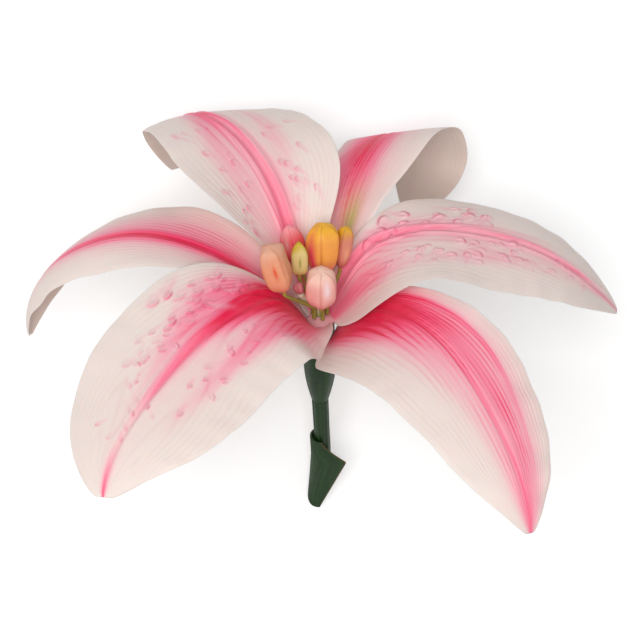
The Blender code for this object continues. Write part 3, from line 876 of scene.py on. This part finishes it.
TEPALS = (
    Tepal(
        node="petal_right",
        whorl=Whorl.PETAL,
        seed=11,
        azimuth=5,
        length=126,
        slopes=(70, 41, 8, -8, -24, -46, -62),
        turns=(28, 20, 8, 0, -6, -10, -14),
        left=(4, 9, 17, 18, 14, 9, 4),
        right=(12, 24, 28, 29, 26, 20, 7),
        cups=(30, 26, 10, -12, -18, -18, -15),
        rolls=(0, 0, -2, -2, -2, -2, -2),
        vein=(0.3, 0.45, 0.1, -0.1, -0.22, -0.32, -0.2),
        bands=(
            Band(
                (0.4, 0.5, 0.14, -0.08, -0.22, -0.35, -0.4),
                (0.5, 0.4, 0.26, 0.2, 0.14, 0.1, 0.15),
                (0.56, 0.44, 0.36, 0.32, 0.32, 0.34, 0.4),
            ),
            Band(
                (-0.2, -0.1, 0.14, -0.08, -0.22, -0.3, -0.3),
                (0.5, 0.6, 0.4, 0.34, 0.26, 0.2, 0.3),
                (0.4, 0.3, 0.14, 0.1, 0.1, 0.1, 0.1),
            ),
            Band(
                (-0.3, -0.35, -0.5, -0.5, -0.5, -0.5, -0.5),
                (0.2, 0.2, 0.14, 0.14, 0.12, 0.1, 0.1),
                (0.2, 0.26, 0.14, 0.2, 0.1, 0.06, 0),
            ),
        ),
        papillae=(
            Papillae(seed=5, count=30, reach=(0.12, 0.62), spread=(-0.62, -0.22), depth=0.9),
            Papillae(seed=15, count=20, reach=(0.2, 0.56), spread=(0.1, 0.7), size=(1.1, 1.9), depth=1.0),
            Papillae(
                seed=25, count=16, reach=(0.6, 0.85), spread=(-0.6, -0.2),
                size=(0.6, 1.0), height=0.4, depth=0.55,
            ),
        ),
        fan=0.5,
    ),
    Tepal(
        node="petal_upper_left",
        whorl=Whorl.PETAL,
        seed=21,
        azimuth=126,
        length=124,
        slopes=(60, 54, 42, 22, -18, -66, -86),
        turns=(0, 0, 0, 0, 2, 4, 4),
        left=(5, 9.5, 20, 24, 22, 15, 6),
        right=(5, 12, 27, 30, 27, 19, 6),
        cups=(56, 56, 40, 5, -10, -15, -10),
        rolls=(0, 0, 0, 4, 12, 14, 14),
        vein=(0, -0.08, -0.12, -0.1, -0.02, 0, 0),
        bands=(
            Band(
                (0, -0.08, -0.14, -0.1, 0.0, 0, 0),
                (0.3, 0.26, 0.17, 0.15, 0.15, 0.2, 0.2),
                (0.5, 0.46, 0.42, 0.36, 0.4, 0.3, 0.2),
            ),
            Band(
                (0.2, 0.2, 0.15, 0.1, 0.05, 0, 0),
                (0.6, 0.5, 0.4, 0.3, 0.25, 0.3, 0.3),
                (0.24, 0.24, 0.2, 0.18, 0.2, 0.1, 0),
            ),
            Band(
                (0.3, 0.3, 0.3, 0.32, 0.2, 0.1, 0),
                (0.2, 0.2, 0.2, 0.2, 0.2, 0.3, 0.3),
                (0, 0, 0.08, 0.2, 0.26, 0.1, 0),
            ),
            Band(
                (-0.4, -0.4, -0.42, -0.46, -0.45, 0, 0),
                (0.1, 0.1, 0.12, 0.12, 0.1, 0.1, 0.1),
                (0, 0, 0.04, 0.24, 0.12, 0, 0),
            ),
        ),
        papillae=(
            Papillae(
                seed=6, count=14, reach=(0.28, 0.56), spread=(-0.8, -0.36),
                size=(0.8, 1.3), height=0.5, depth=0.8,
            ),
            Papillae(
                seed=16, count=18, reach=(0.26, 0.6), spread=(0.15, 0.8),
                size=(0.8, 1.3), height=0.5, depth=0.75,
            ),
        ),
        fan=0.4,
    ),
    Tepal(
        node="petal_lower_left",
        whorl=Whorl.PETAL,
        seed=31,
        azimuth=225,
        length=121,
        slopes=(64, 44, 8, -10, -12, -16, -34),
        turns=(-18, -10, 2, 11, 16, 22, 38),
        left=(9.6, 29, 33, 32, 30, 24, 12),
        right=(1.2, 7, 18.5, 23, 24, 20, 10),
        cups=(30, 6, 10, 0, -6, -12, -10),
        rolls=(-6, -12, -12, -9, -5, 0, 0),
        claw=1.0,
        lap=80.0,
        vein=(0, 0, 0.12, 0.08, 0.04, 0, -0.05),
        bands=(
            Band(
                (-0.1, -0.2, 0.1, 0.1, 0, 0, 0),
                (0.34, 0.34, 0.17, 0.1, 0.1, 0.1, 0.1),
                (0.7, 1.0, 0.6, 0.1, 0, 0, 0),
            ),
            Band(
                (0.1, 0.1, 0.12, 0.08, 0.04, 0, -0.05),
                (0.2, 0.2, 0.11, 0.09, 0.06, 0.06, 0.16),
                (0.3, 0.3, 0.42, 0.38, 0.4, 0.14, 0.7),
            ),
            Band(
                (-0.3, -0.35, -0.3, -0.18, -0.12, -0.1, 0),
                (0.3, 0.4, 0.36, 0.2, 0.12, 0.1, 0.1),
                (0.5, 0.55, 0.5, 0.36, 0.14, 0, 0),
            ),
            Band(
                (0.5, 0.5, 0.5, 0.5, 0.45, 0.4, 0),
                (0.34, 0.26, 0.16, 0.12, 0.09, 0.1, 0.1),
                (0.42, 0.52, 0.46, 0.38, 0.2, 0, 0),
            ),
            Band(
                (0.1, 0.1, 0.15, 0.14, 0.1, 0, 0),
                (0.6, 0.45, 0.42, 0.36, 0.3, 0.3, 0.3),
                (0.26, 0.26, 0.2, 0.14, 0.1, 0.04, 0.05),
            ),
        ),
        papillae=(
            Papillae(
                seed=7, count=26, reach=(0.26, 0.5), spread=(-0.8, -0.16),
                size=(1.0, 1.9), height=0.9, depth=0.95,
            ),
            Papillae(
                seed=17, count=16, reach=(0.48, 0.68), spread=(-0.56, -0.1),
                size=(0.8, 1.3), height=0.6, depth=0.85,
            ),
            Papillae(
                seed=27, count=16, reach=(0.3, 0.72), spread=(0.3, 0.6),
                size=(0.7, 1.2), height=0.5, depth=1.0,
            ),
            Papillae(
                seed=37, count=12, reach=(0.66, 0.88), spread=(-0.5, 0.2),
                size=(0.6, 0.9), height=0.35, depth=0.85,
            ),
        ),
        fan=0.7,
    ),
    Tepal(
        node="sepal_upper_right",
        whorl=Whorl.SEPAL,
        seed=41,
        azimuth=67,
        length=128,
        slopes=(60, 48, 29, 8, -44, -92, -125),
        turns=(2, 2, 0, -4, -10, -16, -18),
        left=(6, 11, 17, 20, 19, 14, 4),
        right=(3, 4, 9.5, 18, 20, 18, 8),
        cups=(24, 24, 18, 0, 0, 0, 0),
        rolls=(8, 10, -4, -24, -22, -8, 0),
        vein=(0.1, 0.1, 0.2, 0.25, 0.25, 0.1, 0),
        bands=(
            Band(
                (0.1, 0.1, 0.25, 0.35, 0.35, 0.3, 0.3),
                (0.5, 0.5, 0.46, 0.44, 0.44, 0.4, 0.4),
                (0.1, 0.1, 0.34, 0.74, 0.66, 0.3, 0.1),
            ),
            Band(
                (0, 0, 0, 0.1, 0.1, 0, 0),
                (0.9, 0.9, 0.8, 0.7, 0.6, 0.5, 0.5),
                (0.2, 0.2, 0.2, 0.2, 0.14, 0.1, 0),
            ),
        ),
        ribs=14,
        gold=0.9,
    ),
    Tepal(
        node="sepal_left",
        whorl=Whorl.SEPAL,
        seed=51,
        azimuth=172,
        length=135,
        slopes=(60, 45, 24, -4, -34, -64, -92),
        turns=(0, 0, 0, 2, 6, 10, 10),
        left=(6, 9.5, 14, 17, 15, 11, 4),
        right=(6, 11, 16, 18, 18, 15, 5),
        cups=(50, 40, 16, -15, -35, -55, -60),
        rolls=(0, 0, 0, 4, 10, 22, 26),
        vein=(0, 0.05, 0.08, 0.05, 0.12, 0.05, 0),
        bands=(
            Band(
                (0, 0.05, 0.1, 0.08, 0.12, 0.1, 0),
                (0.1, 0.15, 0.18, 0.15, 0.12, 0.1, 0.1),
                (0.4, 0.5, 0.55, 0.52, 0.34, 0.1, 0),
            ),
            Band(
                (0, -0.05, -0.1, -0.05, 0.05, 0.1, 0),
                (0.9, 0.8, 0.66, 0.5, 0.38, 0.3, 0.3),
                (0.42, 0.44, 0.46, 0.42, 0.34, 0.12, 0),
            ),
        ),
        ribs=13,
    ),
    Tepal(
        node="sepal_lower_right",
        whorl=Whorl.SEPAL,
        seed=61,
        azimuth=309,
        length=118,
        slopes=(58, 34, 6, -12, -22, -32, -60),
        turns=(16, 13, 6, -5, -11, -16, -22),
        left=(8, 12, 16, 19, 18, 14, 5),
        right=(17, 25, 27, 25, 21, 16, 6),
        cups=(14, 16, 12, 4, -8, -10, 0),
        rolls=(14, 18, 16, 10, 4, 0, 0),
        vein=(0.5, 0.4, 0.2, 0.1, 0.06, 0.05, 0),
        bands=(
            Band(
                (0.4, 0.34, 0.3, 0.3, 0.3, 0.28, 0.2),
                (0.7, 0.6, 0.52, 0.46, 0.42, 0.4, 0.6),
                (0.85, 0.74, 0.58, 0.54, 0.5, 0.46, 0.46),
            ),
            Band(
                (0.5, 0.42, 0.36, 0.4, 0.4, 0.4, 0.4),
                (0.6, 0.5, 0.4, 0.2, 0.2, 0.2, 0.2),
                (0.6, 0.55, 0.26, 0, 0, 0, 0),
            ),
            Band(
                (0.7, 0.72, 0.7, 0.64, 0.58, 0.5, 0.4),
                (0.05, 0.05, 0.05, 0.05, 0.04, 0.04, 0.04),
                (0, 0.2, 0.3, 0.26, 0.16, 0.05, 0),
            ),
            Band(
                (0.4, 0.3, 0.16, 0.08, 0.06, 0.08, 0.1),
                (0.04, 0.04, 0.04, 0.04, 0.04, 0.04, 0.04),
                (0, 0.08, 0.1, 0.1, 0.14, 0.16, 0),
            ),
            Band(
                (0, -0.1, -0.2, -0.2, -0.15, -0.1, 0),
                (0.5, 0.38, 0.28, 0.2, 0.15, 0.2, 0.3),
                (0.8, 0.5, 0.24, 0.14, 0.1, 0.16, 0.2),
            ),
        ),
        ribs=14,
        rib_height=0.12,
    ),
)


@dataclass(frozen=True)
class Anther:
    """One plump pollen lobe, in millimetres, and the filament that carries it."""

    number: int
    slot: str
    seat: float  # where its filament stands round the receptacle, degrees
    foot: tuple[float, float, float]
    top: tuple[float, float, float]
    radius: float
    finish: LobeFinish
    sides: int = 5  # how many flat faces it has round it
    fold: float = 270.0  # the bearing of one of its folds, degrees
    blunt: float = 4.0  # how square its top is
    waist: float = 2.6  # how square its foot is
    slant: float = 0.0  # how far its top is cut off at a slant
    spot: tuple[float, float, float, float] = (0.6, 250.0, 0.12, 0.3)  # height, bearing and size of its spot
    groove: float = 0.14  # how deep its fold is

    FILAMENT_SEAT = (2.5, 14.7)
    FILAMENT_RADIUS = 0.6
    GAP = 0.3

    def turned(self, angle: np.ndarray, bearing: float) -> np.ndarray:
        """How far round each angle lies from a bearing in degrees, from -pi to pi."""
        return (angle - math.radians(bearing) + math.pi) % (2 * math.pi) - math.pi

    def face_place(self, angle: np.ndarray) -> np.ndarray:
        """Where an angle lies across its flat face, from 0 at one fold to 1 at the next."""
        return (angle - math.radians(self.fold)) % (2 * math.pi / self.sides) * self.sides / (2 * math.pi)

    def girth(self, t: np.ndarray, angle: np.ndarray) -> np.ndarray:
        """The lobe's radius: flat faces that meet in folds, one of them grooved, in metres."""
        cut = self.slant * np.cos(angle - math.radians(self.fold + 70)) * ease(t, 0.5, 1.0)
        from_middle = np.abs(2 * t - 1)
        power = np.where(t > 0.5, self.blunt, self.waist)
        ends = np.sqrt(np.clip(1 - from_middle**power, 0, 1)) * (1 - cut)
        half_face = math.pi / self.sides
        flat = math.cos(half_face) / np.cos((self.face_place(angle) - 0.5) * 2 * half_face)
        faceted = 0.25 + 0.75 * flat / (0.5 + 0.5 * math.cos(half_face))
        fold = self.groove * hump(self.turned(angle, self.fold), 0.13) * hump(t - 0.45, 0.5)
        uneven = 0.03 * np.sin(3 * angle + 5 * t) + 0.03 * np.sin(5 * t + self.number)
        return self.radius * MM * ends * (1.06 * faceted - fold + uneven)

    def carried(self, t: np.ndarray, angle: np.ndarray) -> dict[str, np.ndarray]:
        """The crown, foot, edge and spot numbers that its finish reads."""
        height, bearing, tall, wide = self.spot
        place = self.face_place(angle)
        folds = hump(np.minimum(place, 1 - place), 0.07) * (0.4 + 0.6 * np.abs(np.sin(2.2 * angle + 3 * t)))
        return {
            "crown": ease(t + 0.14 * np.sin(angle + 0.6), 0.56, 0.9),
            "foot": 1 - ease(t, 0.02, 0.4),
            "edge": np.clip(folds * 0.6 * ease(t, 0.05, 0.3), 0, 1),
            "spot": hump(self.turned(angle, bearing), wide) * hump(t - height, tall),
        }

    def build(self, axes: BloomAxes, stem_finish: bpy.types.Material) -> None:
        """Makes the lobe and its filament and puts them in the scene.

        Args:
            axes: the bloom's axes.
            stem_finish: the filament's material.
        """
        foot, top = np.array(self.foot), np.array(self.top)
        middle = (foot + top) / 2
        route = np.stack([foot, (foot + middle) / 2, middle, (top + middle) / 2, top]) * MM
        skin = swept_skin(route, self.girth, 96, 112, self.carried)
        node = f"anther_{self.number}"
        add_piece(f"{node}_lobe", skin, self.finish.build(), node, axes)
        around = math.radians(self.seat)
        radius, height = self.FILAMENT_SEAT
        seat = np.array([radius * math.cos(around), radius * math.sin(around), height])
        up = (top - foot) / np.linalg.norm(top - foot)
        end = foot - up * self.GAP
        halfway = (seat + end) / 2 + (0, 0, 1.5)
        stem = np.stack([seat, seat * (1.1, 1.1, 1.3), halfway, end - up * 2, end]) * MM

        def thick(t: np.ndarray, angle: np.ndarray) -> np.ndarray:
            """The filament's radius, with faint ribs."""
            return self.FILAMENT_RADIUS * MM * (1.08 - 0.16 * t + 0.04 * np.cos(6 * angle))

        skin = swept_skin(stem, thick, 72, 24, lambda t, angle: {"edge": ease(t, 0.8, 1.0)})
        node = f"filament_{self.number}"
        add_piece(f"{node}_thread", skin, stem_finish, node, axes)


PEACH = LobeFinish(
    name="anther_peach",
    body=paint(238, 172, 132),
    crown=paint(232, 176, 148),
    edge=paint(204, 122, 88),
    spot=paint(232, 84, 44),
    foot=paint(238, 164, 132),
)
CRIMSON = LobeFinish(
    name="anther_crimson",
    body=paint(253, 112, 122),
    # Painted highlight: the crown is lighter than the body to stand in for light on the lobe's top.
    crown=paint(250, 158, 164),
    edge=paint(206, 36, 76),
    spot=paint(252, 176, 176),
    foot=paint(240, 76, 84),
)
LIME = LobeFinish(
    name="anther_lime",
    body=paint(232, 220, 150),
    crown=paint(204, 176, 36),
    edge=paint(168, 156, 30),
    spot=paint(128, 146, 16),
    foot=paint(222, 206, 120),
)
AMBER = LobeFinish(
    name="anther_amber",
    body=paint(250, 176, 84),
    crown=paint(252, 190, 40),
    edge=paint(186, 112, 36),
    spot=paint(236, 66, 100),
    foot=paint(246, 172, 132),
)
BLUSH = LobeFinish(
    name="anther_blush",
    body=paint(226, 150, 126),
    crown=paint(228, 176, 36),
    edge=paint(168, 92, 84),
    spot=paint(236, 180, 140),
    foot=paint(196, 108, 100),
)
ROSE = LobeFinish(
    name="anther_rose",
    body=paint(246, 188, 176),
    crown=paint(250, 206, 188),
    edge=paint(206, 128, 108),
    # Painted highlight: the near-white spot stands in for a glint on the lobe's front.
    spot=paint(255, 240, 240),
    foot=paint(226, 150, 146),
)

ANTHERS = (
    Anther(
        1, "anther_peach", 220, (-11.6, -7.3, 31.4), (-16.2, -6.3, 48.4), 4.4, PEACH,
        sides=4, fold=232, blunt=7, slant=0.12, spot=(0.56, 268, 0.13, 0.16),
    ),
    Anther(
        2, "anther_crimson", 118, (-7.2, 9.6, 29.5), (-10.4, 9.4, 44.5), 3.6, CRIMSON,
        sides=4, fold=262, blunt=1.7, spot=(0.66, 300, 0.2, 0.3),
    ),
    Anther(
        3, "anther_lime", 160, (-6.6, 1.6, 31.0), (-6.8, 1.6, 44.0), 2.5, LIME,
        sides=3, fold=330, blunt=2.4, waist=5, spot=(0.45, 262, 0.16, 0.2),
    ),
    Anther(
        4, "anther_amber", 70, (0.8, 4.6, 29.0), (0.8, 8.6, 46.0), 4.9, AMBER,
        sides=5, fold=276, blunt=4.5, slant=0.1, spot=(0.4, 318, 0.5, 0.34), groove=0.2,
    ),
    Anther(
        5, "anther_blush", 20, (6.6, 8.4, 28.0), (8.6, 9.6, 44.0), 2.4, BLUSH,
        sides=4, fold=290, blunt=6, spot=(0.4, 240, 0.2, 0.3),
    ),
    # The rose lobe, whose spot is a painted highlight.
    Anther(
        6, "anther_rose", 290, (0.4, -6.4, 24.0), (0.4, -7.8, 40.0), 4.8, ROSE,
        sides=6, fold=272, blunt=4.5, waist=2.2, spot=(0.68, 246, 0.2, 0.26), groove=0.18,
    ),
)


@dataclass(frozen=True)
class Pistil:
    """The ovary, the style that leans out of it, and the three-lobed stigma, in millimetres."""

    ovary_foot: float = 14.7
    ovary_height: float = 4.0
    ovary_radius: float = 1.6
    style_route: tuple[tuple[float, float, float], ...] = (
        (-0.2, 0.0, 19.3),
        (-0.9, -0.2, 20.4),
        (-3.0, -1.2, 22.2),
        (-5.4, -2.2, 24.4),
        (-6.4, -2.8, 26.2),
    )
    style_radius: float = 1.1
    stigma_centre: tuple[float, float, float] = (-6.8, -3.0, 28.8)
    stigma_radius: float = 2.1

    def build(self, axes: BloomAxes) -> None:
        """Makes the three pieces.

        Args:
            axes: the bloom's axes.
        """
        pale = GreenFinish(
            "pistil_skin", paint(196, 186, 150), paint(232, 220, 198), paint(160, 172, 96)
        ).build()
        rosy = GreenFinish(
            "stigma_skin", paint(186, 92, 104), paint(222, 142, 146), paint(206, 120, 120)
        ).build()

        def ovary(t: np.ndarray, angle: np.ndarray) -> np.ndarray:
            """Six ribs on a narrow barrel."""
            barrel = along((0.8, 1.0, 1.0, 0.95, 0.85, 0.6), t)
            return self.ovary_radius * MM * barrel * (0.95 + 0.05 * np.cos(6 * angle))

        heights = np.linspace(self.ovary_foot, self.ovary_foot + self.ovary_height, 5)
        route = np.stack([np.zeros(5), np.zeros(5), heights], 1) * MM
        skin = swept_skin(route, ovary, 60, 48, lambda t, angle: {"edge": 1 - ease(t, 0.2, 0.9)})
        add_piece("ovary_column", skin, pale, "ovary", axes)

        def style(t: np.ndarray, angle: np.ndarray) -> np.ndarray:
            """A smooth stem that widens a little to its top."""
            return self.style_radius * MM * (0.9 + 0.2 * t) * (0.97 + 0.03 * np.cos(3 * angle))

        route = np.array(self.style_route) * MM
        skin = swept_skin(route, style, 80, 40, lambda t, angle: {"edge": 0.3 * (1 - t)})
        add_piece("style_stem", skin, pale, "style", axes)

        def stigma(t: np.ndarray, angle: np.ndarray) -> np.ndarray:
            """Three plump lobes."""
            ends = np.sqrt(np.clip(1 - (2 * t - 1) ** 2, 0, 1))
            return self.stigma_radius * MM * ends * (0.86 + 0.14 * np.cos(3 * angle)) * (1 + 0.1 * (t - 0.5))

        heights = np.linspace(-self.stigma_radius, self.stigma_radius, 5)[:, None] * (0, 0, 1)
        route = (np.array(self.stigma_centre) + heights) * MM
        skin = swept_skin(route, stigma, 64, 72, lambda t, angle: {"edge": hump(np.cos(1.5 * angle), 0.3)})
        add_piece("stigma_lobes", skin, rosy, "stigma", axes)


@dataclass(frozen=True)
class Stalk:
    """The receptacle, the stalk and the bract that wraps its cut end, in millimetres."""

    route: tuple[tuple[float, float, float], ...] = (
        (0.0, 0.0, -23.4),
        (0.5, -0.2, -36.0),
        (1.0, 0.2, -50.0),
        (0.4, 0.4, -62.0),
        (-0.4, 0.0, -73.0),
    )
    radius: float = 2.8
    gap: float = 0.3
    receptacle_foot: float = -23.0
    receptacle_girth: tuple[float, ...] = (3.0, 4.4, 5.3, 5.6, 5.4, 4.9, 4.8)
    bract_top: float = -41.0
    bract_length: float = 33.0
    bract_thickness: float = 0.8
    bract_wrap: tuple[float, float] = (100.0, 270.0)
    bract_wing: float = 8.2
    bract_hook: float = 0.3

    def centre(self, height: np.ndarray) -> tuple[np.ndarray, np.ndarray]:
        """Where the middle of the stalk is at each height, in metres."""
        x, y, z = np.array(self.route).T * MM
        return np.interp(-height, -z, x), np.interp(-height, -z, y)

    def bract_middle(self, t: np.ndarray, side: np.ndarray) -> np.ndarray:
        """The bract's middle surface: a wrap round the stalk that runs on into a free wing.

        Args:
            t: places down the stalk, from 0 to 1.
            side: places round it, from -1 to 1.

        Returns:
            Points in the bloom's axes.
        """
        radius = (self.radius + 2 * self.gap + self.bract_thickness / 2) * MM
        start, end = (math.radians(angle) for angle in self.bract_wrap)
        rise = np.minimum(t / self.bract_hook, 1) ** 1.4
        wing = self.bract_wing * MM * rise * np.minimum((1.03 - t) / (1 - self.bract_hook), 1)
        reach = radius * (end - start) * np.sqrt(1 - 0.98 * t**4)
        length = (side + 1) / 2 * (reach + wing) - reach
        angle = end + np.minimum(length, 0) / radius
        free = np.maximum(length, 0)
        height = self.bract_top * MM - t * self.bract_length * MM
        middle_x, middle_y = self.centre(height)
        x = middle_x + radius * np.cos(angle) - free * np.sin(angle)
        y = middle_y + radius * np.sin(angle) + free * np.cos(angle)
        return np.stack([x, y, height], 1)

    def build(self, axes: BloomAxes) -> None:
        """Makes the receptacle, the stalk and the bract.

        Args:
            axes: the bloom's axes.
        """
        green = GreenFinish("stalk_skin", paint(10, 34, 8), paint(32, 66, 20), paint(150, 160, 90)).build()
        cup = GreenFinish("cup_skin", paint(10, 34, 8), paint(30, 64, 20), paint(236, 176, 180)).build()
        leaf = GreenFinish("bract_skin", paint(12, 36, 10), paint(34, 72, 24), paint(96, 62, 34)).build()
        top = RECEPTACLE_TOP / MM

        def receptacle(t: np.ndarray, angle: np.ndarray) -> np.ndarray:
            """A tapered cup with six shallow flutes."""
            ends = 1 - 0.6 * ease(t, 0.96, 1.0)
            return along(self.receptacle_girth, t) * MM * ends * (0.97 + 0.03 * np.cos(6 * angle))

        heights = np.linspace(self.receptacle_foot, top, 5)
        line = np.stack([np.zeros(5), np.zeros(5), heights], 1) * MM
        skin = swept_skin(line, receptacle, 90, 96, lambda t, angle: {"edge": ease(t, 0.9, 0.95)})
        add_piece("receptacle_cup", skin, cup, "receptacle", axes)

        def stalk(t: np.ndarray, angle: np.ndarray) -> np.ndarray:
            """A stem with shallow lengthwise flutes."""
            taper = along((1.05, 1, 1, 0.95), t) * (1 - 0.4 * ease(t, 0.88, 1.0))
            return self.radius * MM * taper * (0.97 + 0.03 * np.cos(9 * angle + 2 * t))

        route = np.array(self.route) * MM
        skin = swept_skin(route, stalk, 150, 96, lambda t, angle: {"edge": ease(t, 0.985, 1.0)})
        add_piece("stalk_stem", skin, green, "stalk", axes)

        skin = blade_skin(
            self.bract_middle,
            90,
            110,
            lambda t, side: self.bract_thickness * MM * (1 - 0.3 * side**2),
            lambda t, side: 0.05 * MM * np.cos(26 * math.pi * side),
            lambda t, side: 0.05 * MM * np.cos(26 * math.pi * side),
            lambda t, side: {"edge": ease(np.abs(side), 0.9, 1.0) + 0 * t},
        )
        add_piece("bract_leaf", skin, leaf, "bract", axes)


@dataclass(frozen=True)
class Studio:
    """The pale floor, the soft light and the camera that looks down on the bloom."""

    tilt: float = 48.0  # how far in front of the flower's axis the camera stands, degrees
    distance: float = 0.6
    field: float = 0.215  # how much of the bloom's plane the view spans, metres
    rise: float = 9.4 * MM  # how far above the petals' meeting point the view is centred
    sensor: float = 36.0
    key_distance: float = 0.95
    key_size: float = 0.55
    key_power: float = 5.8
    sky: float = 0.42
    floor_glow: float = 0.3  # how white the floor is made under the bloom
    far_glow: float = 0.45  # how much more so away from it

    def view(self, axes: BloomAxes) -> tuple[Vector, Vector]:
        """The directions from the bloom to the camera and up in its picture.

        Args:
            axes: the bloom's axes.

        Returns:
            The two directions in the frame.
        """
        tilt = math.radians(self.tilt)
        towards = axes.direction(0, -math.sin(tilt), math.cos(tilt))
        upwards = axes.direction(0, math.cos(tilt), math.sin(tilt))
        return towards, upwards

    def add_camera(self, axes: BloomAxes) -> None:
        """Puts the camera where it sees the bloom from the front of its lean.

        Args:
            axes: the bloom's axes.
        """
        towards, upwards = self.view(axes)
        data = bpy.data.cameras.new("camera")
        data.sensor_width = self.sensor
        data.lens = self.sensor * self.distance / self.field
        data.clip_start = 0.01
        camera = bpy.data.objects.new("camera", data)
        origin = Vector(axes.place)
        camera.location = origin + towards * self.distance
        back = (camera.location - (origin + upwards * self.rise)).normalized()
        right = upwards.cross(back).normalized()
        camera.rotation_euler = Matrix((right, back.cross(right), back)).transposed().to_euler()
        bpy.context.scene.collection.objects.link(camera)
        bpy.context.scene.camera = camera

    def add_key(self, axes: BloomAxes) -> None:
        """Hangs one large soft lamp beside the camera.

        Args:
            axes: the bloom's axes.
        """
        towards, upwards = self.view(axes)
        data = bpy.data.lights.new("softbox", "AREA")
        data.shape = "SQUARE"
        data.size = self.key_size
        data.energy = self.key_power
        lamp = bpy.data.objects.new("softbox", data)
        direction = (towards - upwards * 0.06 + axes.direction(-0.12, 0, 0)).normalized()
        lamp.location = Vector(axes.place) + direction * self.key_distance
        lamp.rotation_euler = direction.to_track_quat("Z", "Y").to_euler()
        bpy.context.scene.collection.objects.link(lamp)

    def seen(self, tree: bpy.types.NodeTree) -> Socket:
        """1 for a ray that shows what lies behind: from the camera, a reflection or glass."""
        path = tree.nodes.new("ShaderNodeLightPath")
        total = path.outputs["Is Camera Ray"]
        for name in ("Is Glossy Ray", "Is Transmission Ray"):
            node = tree.nodes.new("ShaderNodeMath")
            node.operation = "MAXIMUM"
            tree.links.new(total, node.inputs[0])
            tree.links.new(path.outputs[name], node.inputs[1])
            total = node.outputs[0]
        return total

    def add_floor(self) -> None:
        """Lays the pale floor, which keeps the bloom's shadow."""
        bpy.ops.mesh.primitive_plane_add(size=6, location=(0, 0, 0))
        floor = bpy.context.object
        floor.name = "floor"
        g = Graph("floor_paper")
        grain = g.noise(g.solid_place(), 900, detail=2)
        g.finish(g.mix(grain, (0.88, 0.88, 0.88), (0.9, 0.9, 0.9)), 0.9, specular_ior_level=0.1)
        g.feed(g.shader.inputs["Emission Color"], (1.0, 1.0, 1.0))
        length = g.add("ShaderNodeVectorMath", operation="LENGTH")
        g.feed(length.inputs[0], g.solid_place())
        far = g.sum("MULTIPLY_ADD", length.outputs["Value"], 1.6, -0.35, clamp=True)
        glow = g.sum("MULTIPLY_ADD", far, self.far_glow, self.floor_glow)
        g.feed(g.shader.inputs["Emission Strength"], g.sum("MULTIPLY", self.seen(g.tree), glow))
        floor.data.materials.append(g.material)
        floor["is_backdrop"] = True

    def add_sky(self) -> None:
        """Lights the bloom evenly from all round, with white behind it."""
        world = bpy.data.worlds.new("studio")
        world.use_nodes = True
        tree = world.node_tree
        background = tree.nodes["Background"]
        background.inputs["Color"].default_value = (1, 1, 1, 1)
        strength = tree.nodes.new("ShaderNodeMath")
        strength.operation = "MULTIPLY_ADD"
        tree.links.new(self.seen(tree), strength.inputs[0])
        strength.inputs[1].default_value = 1 - self.sky
        strength.inputs[2].default_value = self.sky
        tree.links.new(strength.outputs[0], background.inputs["Strength"])
        bpy.context.scene.world = world

    def build(self, axes: BloomAxes) -> None:
        """Makes the camera, the lamp, the floor and the sky.

        Args:
            axes: the bloom's axes.
        """
        bpy.context.scene.view_settings.view_transform = "Standard"
        self.add_camera(axes)
        self.add_key(axes)
        self.add_floor()
        self.add_sky()
        LOG.info("studio: camera %.2f m from the bloom", self.distance)


def write_sizes() -> None:
    """Puts the solids' box and the finished pieces' box side by side, without writing them anywhere."""
    boxes = {"cad": CAD_BOX, "visual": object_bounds()}
    boxes = {name: [list(corner) for corner in box] for name, box in boxes.items()}


def main() -> None:
    """Builds the studio and then the bloom, piece by piece."""
    logging.basicConfig(level=logging.INFO, format="%(message)s")
    axes = BloomAxes(frame["nodes"])
    Studio().build(axes)
    finishes = {
        Whorl.PETAL: TepalFinish("petal_skin").build(),
        Whorl.SEPAL: TepalFinish("sepal_skin", streaks=0.24, veins=0.7).build(),
    }
    for tepal in TEPALS:
        tepal.build(axes, finishes)
    thread = GreenFinish(
        "filament_skin", paint(134, 138, 48), paint(186, 176, 92), paint(196, 166, 60)
    ).build()
    for anther in ANTHERS:
        anther.build(axes, thread)
    Pistil().build(axes)
    Stalk().build(axes)
    write_sizes()


if __name__ == "__main__":
    main()
